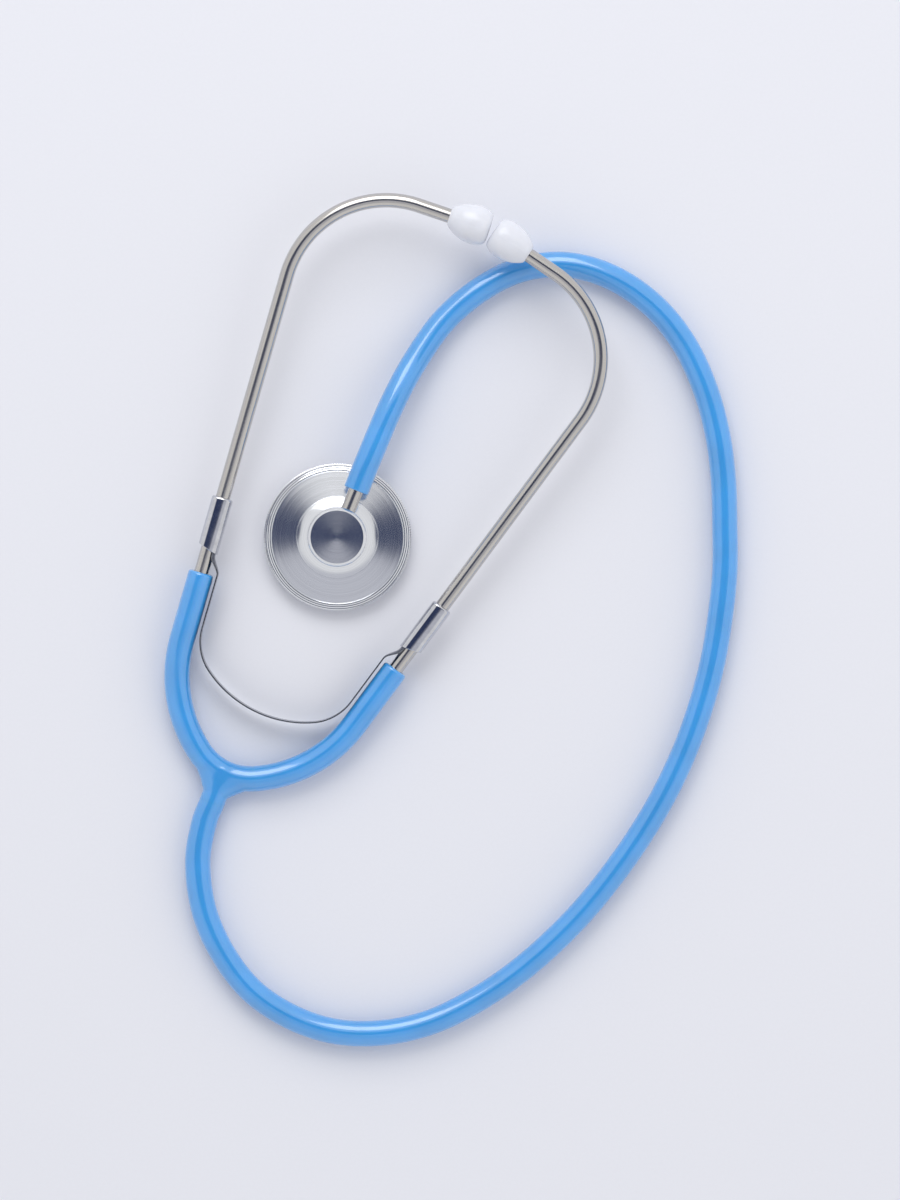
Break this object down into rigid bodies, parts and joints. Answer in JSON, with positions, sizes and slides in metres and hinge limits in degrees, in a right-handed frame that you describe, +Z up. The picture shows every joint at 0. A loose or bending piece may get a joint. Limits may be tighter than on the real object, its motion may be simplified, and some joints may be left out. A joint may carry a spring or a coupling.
{
  "type": "toy stethoscope",
  "caption": "Toy stethoscope lying flat: turned metal chestpiece with a screw ring and diaphragm, blue hose and Y tube, sprung headset with swivelling ear tubes.",
  "frame": {"origin": "on the table, under the middle of the box round the headset and chestpiece", "axes": "+Z up from the table, +Y towards the ear tips and along the longest side, +X to the right of the picture"},
  "size_m": [0.1784, 0.2646, 0.0214],
  "materials": {
    "turned_aluminium": "turned, fine concentric marks",
    "ring_aluminium": "turned and knurled",
    "diaphragm_film": "smooth thin film",
    "gasket_rubber": "matt",
    "stem_chrome": "bright plated",
    "blue_tube": "glossy soft vinyl",
    "spring_steel": "rolled strip",
    "collar_chrome": "bright plated",
    "nickel_tube": "satin nickel plate",
    "white_plastic": "semi-gloss moulded"
  },
  "bodies": {
    "root": {"yoke": "blue_tube", "hose": "blue_tube", "leaf_spring": "spring_steel"},
    "left_binaural": {"left_arm": "blue_tube", "left_collar": "collar_chrome"},
    "left_tube": {"left_ear_tube": "nickel_tube"},
    "left_tip": {"left_ear_tip": "white_plastic"},
    "right_binaural": {"right_arm": "blue_tube", "right_collar": "collar_chrome"},
    "right_tube": {"right_ear_tube": "nickel_tube"},
    "right_tip": {"right_ear_tip": "white_plastic"},
    "chestpiece": {"chestpiece_body": "turned_aluminium", "stem": "stem_chrome", "gasket": "gasket_rubber"},
    "diaphragm_carrier": {"diaphragm": "diaphragm_film"},
    "ring": {"retaining_ring": "ring_aluminium"}
  },
  "joints": [
    {"name": "left_spread", "type": "hinge", "parent": "root", "child": "left_binaural", "pos_m": [-0.06509, -0.05949, 0.00498], "axis": [-0.0268, -0.054, 0.9982], "range_deg": [0, 25], "stiffness_Nm_per_rad": 0.5, "springref_deg": -11.46, "deforming": ["left_arm", "leaf_spring"]},
    {"name": "left_swivel", "type": "hinge", "parent": "left_binaural", "child": "left_tube", "pos_m": [-0.05772, -0.02216, 0.0072], "axis": [-0.2782, -0.9587, -0.0594], "range_deg": [0, 90]},
    {"name": "left_tip_turn", "type": "hinge", "parent": "left_tube", "child": "left_tip", "pos_m": [0.01943, 0.08798, 0.01523], "axis": [0.9471, -0.3208, 0.0081], "continuous": true},
    {"name": "right_spread", "type": "hinge", "parent": "root", "child": "right_binaural", "pos_m": [-0.02256, -0.0806, 0.00498], "axis": [0.0268, 0.054, -0.9982], "range_deg": [0, 25], "stiffness_Nm_per_rad": 0.5, "springref_deg": -11.46, "deforming": ["right_arm", "leaf_spring"]},
    {"name": "right_swivel", "type": "hinge", "parent": "right_binaural", "child": "right_tube", "pos_m": [0.00272, -0.05216, 0.0072], "axis": [0.5954, 0.8012, 0.0594], "range_deg": [0, 90]},
    {"name": "right_tip_turn", "type": "hinge", "parent": "right_tube", "child": "right_tip", "pos_m": [0.0438, 0.07588, 0.01523], "axis": [-0.8282, 0.5604, 0.0081], "continuous": true},
    {"name": "chestpiece_swivel", "type": "hinge", "parent": "root", "child": "chestpiece", "pos_m": [-0.00966, 0.00316, 0.00995], "axis": [0.3746, 0.9272, 0], "range_deg": [-90, 90]},
    {"name": "ring_travel", "type": "slide", "parent": "chestpiece", "child": "diaphragm_carrier", "axis": [0, 0, -1], "range_m": [0, 0.0025]},
    {"name": "ring_unscrew", "type": "hinge", "parent": "diaphragm_carrier", "child": "ring", "pos_m": [-0.0155, -0.0113, 0.0025], "axis": [0, 0, -1], "range_deg": [0, 900]}
  ],
  "couplings": [
    {"joint": "ring_travel", "follows": "ring_unscrew", "m_per_rad": 0.00015915}
  ]
}
